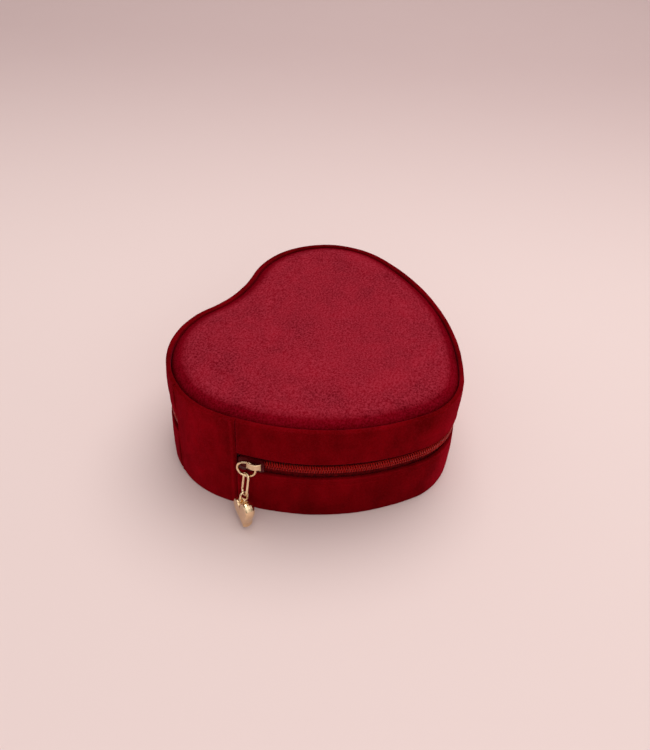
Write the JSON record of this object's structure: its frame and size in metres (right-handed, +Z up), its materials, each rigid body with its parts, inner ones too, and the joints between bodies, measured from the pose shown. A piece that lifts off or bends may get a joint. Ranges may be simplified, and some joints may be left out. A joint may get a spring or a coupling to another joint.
{
  "type": "jewellery box",
  "caption": "Heart-shaped velvet jewellery box with a padded hinged lid, a zip round the side, lined compartments and a heart charm on the zip pull.",
  "frame": {"origin": "centre of the underside, midway between the outer sides of the two lobes and midway from the tip to the far side of the lobes", "axes": "+Z up, +Y from the tip of the heart towards its cleft, +X from the hinged lobe to the free lobe"},
  "size_m": [0.1208, 0.104, 0.0492],
  "materials": {
    "velvet_top": "short-pile velvet",
    "velvet_side": "short-pile velvet",
    "lining": "velvet lining",
    "board": "grey board",
    "foam": "soft pad",
    "zip_tape": "woven tape",
    "zip_coil": "polyester coil",
    "mirror_glass": "polished",
    "red_enamel": "glossy dark red enamel",
    "gold_metal": "polished pale gold"
  },
  "bodies": {
    "base": {"base_underside": "velvet_side", "base_board": "board", "base_outer_wall": "board", "base_band": "velvet_side", "base_inner_wall": "board", "base_wall_lining": "lining", "base_floor_lining": "lining", "long_divider": "lining", "lobe_divider": "lining", "ring_roll_1": "lining", "ring_roll_2": "lining", "ring_roll_3": "lining", "ring_roll_4": "lining", "ring_roll_5": "lining", "zip_tape_lower": "zip_tape", "zip_coil_lower": "zip_coil", "hinge_gusset": "velvet_side", "hinge_lining": "lining"},
    "lid": {"lid_board": "board", "lid_foam_pad": "foam", "lid_top_cover": "velvet_top", "lid_outer_wall": "board", "lid_band": "velvet_side", "lid_inner_wall": "board", "lid_wall_lining": "lining", "mirror_surround": "lining", "mirror": "mirror_glass", "zip_tape_upper": "zip_tape", "zip_coil_upper": "zip_coil"},
    "slider": {"slider_body": "red_enamel", "slider_bail": "gold_metal"},
    "ring": {"pull_ring": "gold_metal"},
    "long_link": {"long_link": "gold_metal"},
    "short_link": {"short_link": "gold_metal"},
    "charm": {"heart_charm": "gold_metal"}
  },
  "joints": [
    {"name": "lid_hinge", "type": "hinge", "parent": "base", "child": "lid", "pos_m": [-0.0566, 0.0185, 0.0255], "axis": [0, -1, 0], "range_deg": [0, 105], "deforming": ["hinge_gusset", "hinge_lining", "zip_tape_lower", "zip_tape_upper", "zip_coil_lower", "zip_coil_upper"]},
    {"name": "zip_travel", "type": "hinge", "parent": "base", "child": "slider", "pos_m": [0.02959, 0.02841, 0.0255], "axis": [0, 0, 1], "range_deg": [0, 37], "deforming": ["zip_coil_lower", "zip_coil_upper"]},
    {"name": "ring_swing", "type": "hinge", "parent": "slider", "child": "ring", "pos_m": [-0.05479, -0.00097, 0.0255], "axis": [-0.941, -0.3384, 0], "range_deg": [-22, 22]},
    {"name": "long_link_lift", "type": "hinge", "parent": "ring", "child": "long_link", "pos_m": [-0.05525, -0.00039, 0.02041], "axis": [-0.3384, 0.941, 0], "range_deg": [-4, 100]},
    {"name": "short_link_swing", "type": "hinge", "parent": "long_link", "child": "short_link", "pos_m": [-0.05789, -0.00134, 0.01311], "axis": [0.3819, 0.8888, -0.2534], "range_deg": [-15, 60]},
    {"name": "charm_swing", "type": "hinge", "parent": "short_link", "child": "charm", "pos_m": [-0.05901, -0.00175, 0.01056], "axis": [-0.8471, 0.4468, 0.2876], "range_deg": [-25, 35]}
  ]
}
